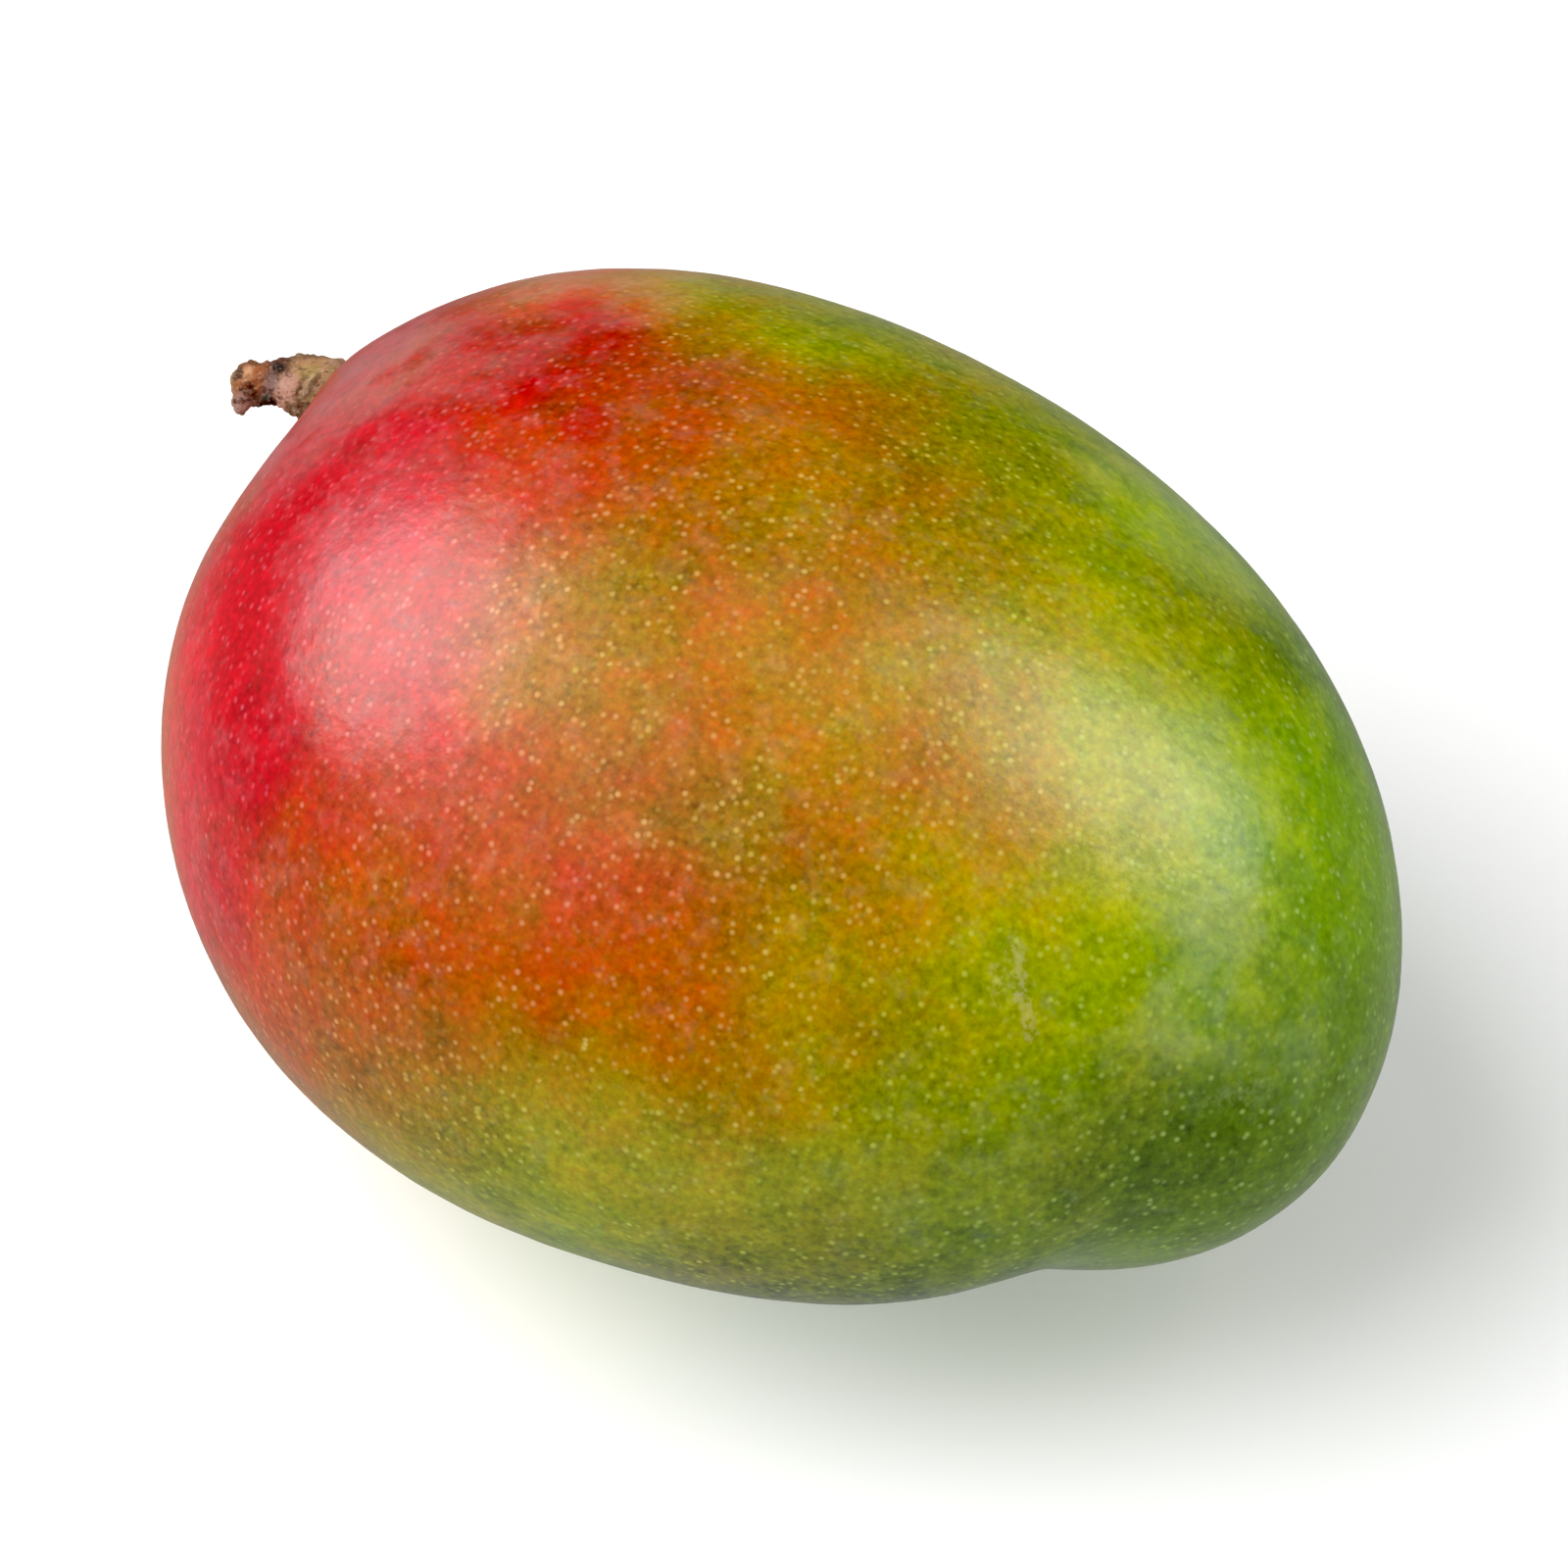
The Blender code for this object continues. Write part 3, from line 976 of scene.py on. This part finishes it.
@dataclass(frozen=True)
class Viewpoint:
    """The camera, where the photographer stood.

    Attributes:
        azimuth: Degrees round the fruit.
        elevation: Degrees above the floor.
        distance: Metres from the point that it looks at.
        pixel: Size in metres of a pixel of the photograph, at the fruit's middle.
        middle_across: Pixel column where the fruit's middle lies.
        middle_down: Pixel row where it lies.
        sensor: Width of the sensor in millimetres.
        near: Metres from the camera at which the picture starts.
    """

    azimuth: float = 34.2
    elevation: float = 44.0
    distance: float = 0.8
    pixel: float = 0.0885 * MM
    middle_across: float = 771.4
    middle_down: float = 841.8
    sensor: float = 36.0
    near: float = 0.01

    def build(self) -> None:
        """Makes the camera and gives it to the scene."""
        back = outward(self.azimuth, self.elevation)
        around = math.radians(self.azimuth)
        right = Vector((math.cos(around), math.sin(around), 0.0))
        up = back.cross(right)
        half = PICTURE_WIDTH / 2.0
        aim = SWELL_CENTRE + right * (half - self.middle_across) * self.pixel
        aim = aim - up * (half - self.middle_down) * self.pixel
        lens = bpy.data.cameras.new("camera")
        lens.sensor_width = self.sensor
        lens.lens = self.sensor * self.distance / (PICTURE_WIDTH * self.pixel)
        lens.clip_start = self.near
        camera = bpy.data.objects.new("camera", lens)
        camera.location = aim + back * self.distance
        camera.rotation_mode = "QUATERNION"
        camera.rotation_quaternion = (-back).to_track_quat("-Z", "Y")
        bpy.context.scene.collection.objects.link(camera)
        bpy.context.scene.camera = camera
        log.info("camera %.1f mm", lens.lens)


def copy_of_node(node: str, name: str) -> bpy.types.Object:
    """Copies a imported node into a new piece, with its loose triangles merged into quads.

    Args:
        node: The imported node.
        name: The new piece's name.

    Returns:
        The new piece, selected and active.
    """
    bpy.ops.object.select_all(action="DESELECT")
    piece = bpy.data.objects.new(name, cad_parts[node].data.copy())
    piece.data.name = name
    piece.data.materials.clear()
    bpy.context.scene.collection.objects.link(piece)
    piece.select_set(True)
    bpy.context.view_layer.objects.active = piece
    bpy.ops.object.mode_set(mode="EDIT")
    bpy.ops.mesh.select_all(action="SELECT")
    bpy.ops.mesh.remove_doubles(threshold=SAME_PLACE)
    bpy.ops.mesh.tris_convert_to_quads(face_threshold=NEARLY_FLAT, shape_threshold=NEARLY_FLAT)
    bpy.ops.object.mode_set(mode="OBJECT")
    return piece


def apply_modifier(piece: bpy.types.Object, kind: str, **settings: Any) -> None:
    """Adds a modifier to a piece and applies it.

    Args:
        piece: The piece.
        kind: The modifier's type.
        settings: The modifier's settings.
    """
    bpy.context.view_layer.objects.active = piece
    modifier = piece.modifiers.new(kind.lower(), kind)
    for key, value in settings.items():
        setattr(modifier, key, value)
    bpy.ops.object.modifier_apply(modifier=modifier.name)


def hand_over(piece: bpy.types.Object, node: str) -> None:
    """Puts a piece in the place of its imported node.

    Args:
        piece: The finished piece.
        node: The node that it stands for.
    """
    piece.data.shade_smooth()
    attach(piece, "root")
    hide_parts(node)
    log.info("piece %s: %d faces", piece.name, len(piece.data.polygons))


class ReliefKind(Enum):
    """Textures that model a surface's unevenness."""

    LUMPS = "CLOUDS"
    CRACKS = "VORONOI"


@dataclass(frozen=True)
class Relief:
    """Unevenness that is modelled into a surface.

    Attributes:
        kind: The texture that pushes the surface in and out.
        cell: Size of its lumps in metres.
        depth: Greatest height difference in metres, negative where lumps are to be hollows.
    """

    kind: ReliefKind
    cell: float
    depth: float

    def model(self, piece: bpy.types.Object, group: str = "") -> None:
        """Pushes a piece's surface in and out.

        Args:
            piece: The piece.
            group: Vertex group that says how far, all of it if left out.
        """
        texture = bpy.data.textures.new(f"{piece.name}_{self.kind.value.lower()}", self.kind.value)
        texture.noise_scale = self.cell
        apply_modifier(
            piece, "DISPLACE", texture=texture, strength=self.depth, mid_level=0.5,
            texture_coords="LOCAL", vertex_group=group,
        )


@dataclass
class Fruit:
    """Skin over flesh, grown as one body.

    Attributes:
        finish: The skin's finish.
        fineness: Levels of subdivision.
        reliefs: Shallow dents and ripples of the skin.
    """

    finish: SkinFinish = field(default_factory=SkinFinish)
    fineness: int = 2
    reliefs: tuple[Relief, ...] = (
        Relief(ReliefKind.LUMPS, 11.0 * MM, 0.20 * MM),
        Relief(ReliefKind.LUMPS, 4.0 * MM, 0.05 * MM),
    )

    def build(self) -> None:
        """Builds the fruit and dresses it."""
        piece = copy_of_node("fruit", "mango_fruit")
        apply_modifier(piece, "SUBSURF", levels=self.fineness, render_levels=self.fineness)
        for relief in self.reliefs:
            relief.model(piece)
        for vertex in piece.data.vertices:
            vertex.co.z = max(vertex.co.z, 0.0)
        piece.data.materials.append(self.finish.material())
        hand_over(piece, "fruit")


@dataclass
class Stem:
    """The dry stub of the stalk.

    Attributes:
        finish: The bark's finish.
        fineness: Levels of subdivision.
        smooth_root: Length of the root that stays smooth in its socket, in metres.
        reliefs: Lumps, cracks and grit of the bark.
    """

    BARK_GROUP = "bark"
    finish: BarkFinish = field(default_factory=BarkFinish)
    fineness: int = 2
    smooth_root: float = 0.5 * MM
    reliefs: tuple[Relief, ...] = (
        Relief(ReliefKind.LUMPS, 1.25 * MM, 0.75 * MM),
        Relief(ReliefKind.CRACKS, 0.85 * MM, -0.36 * MM),
        Relief(ReliefKind.LUMPS, 0.36 * MM, 0.14 * MM),
    )

    def build(self) -> None:
        """Builds the stem and dresses it."""
        piece = copy_of_node("stem", "mango_stem")
        apply_modifier(piece, "SUBSURF", levels=self.fineness, render_levels=self.fineness)
        group = piece.vertex_groups.new(name=self.BARK_GROUP)
        for vertex in piece.data.vertices:
            along = (vertex.co - STEM_BASE).dot(STEM_LEAN)
            group.add([vertex.index], min(1.0, max(0.0, along / self.smooth_root + 1.0)), "REPLACE")
        for relief in self.reliefs:
            relief.model(piece, self.BARK_GROUP)
        piece.vertex_groups.clear()
        piece.data.materials.append(self.finish.material())
        hand_over(piece, "stem")


def main() -> None:
    """Builds the mango, its studio and the camera."""
    logging.basicConfig(level=logging.INFO, format="%(name)s: %(message)s")
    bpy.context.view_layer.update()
    Viewpoint().build()
    Fruit().build()
    Stem().build()
    Studio().build()


if __name__ == "__main__":
    main()
